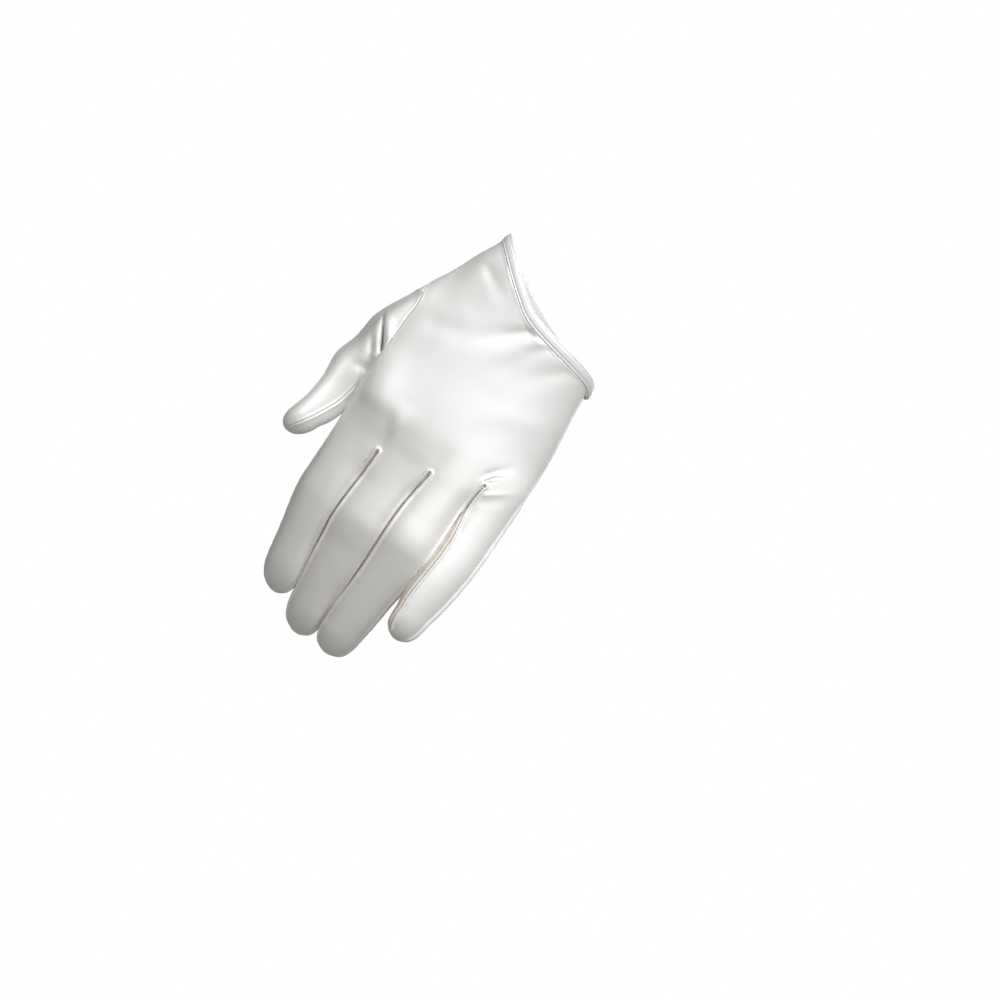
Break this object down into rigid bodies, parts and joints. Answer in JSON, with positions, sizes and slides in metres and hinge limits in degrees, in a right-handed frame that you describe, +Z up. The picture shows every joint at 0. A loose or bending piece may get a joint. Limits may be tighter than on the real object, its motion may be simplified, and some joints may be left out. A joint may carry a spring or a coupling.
{
  "type": "dance glove",
  "caption": "Very short satin dress glove for a left hand, with a scooped, bound wrist opening, strips between the fingers and a set-in thumb.",
  "frame": {"origin": "middle of the wrist opening, where the hand goes in", "axes": "+Z up the arm, so the fingers point to -Z; -Y is the back of the hand and +Y its palm; the thumb is on the -X side"},
  "size_m": [0.1043, 0.0427, 0.1881],
  "materials": {
    "satin": "glossy ivory-white satin",
    "side_strips": "ivory-white satin, seen edge-on between the fingers",
    "binding": "folded strip of the same ivory-white satin"
  },
  "bodies": {
    "root": {"back_panel": "satin", "palm_panel": "satin", "strip_index_middle": "side_strips", "strip_middle_ring": "side_strips", "strip_ring_little": "side_strips", "thumb": "satin", "wrist_binding": "binding"}
  },
  "joints": []
}
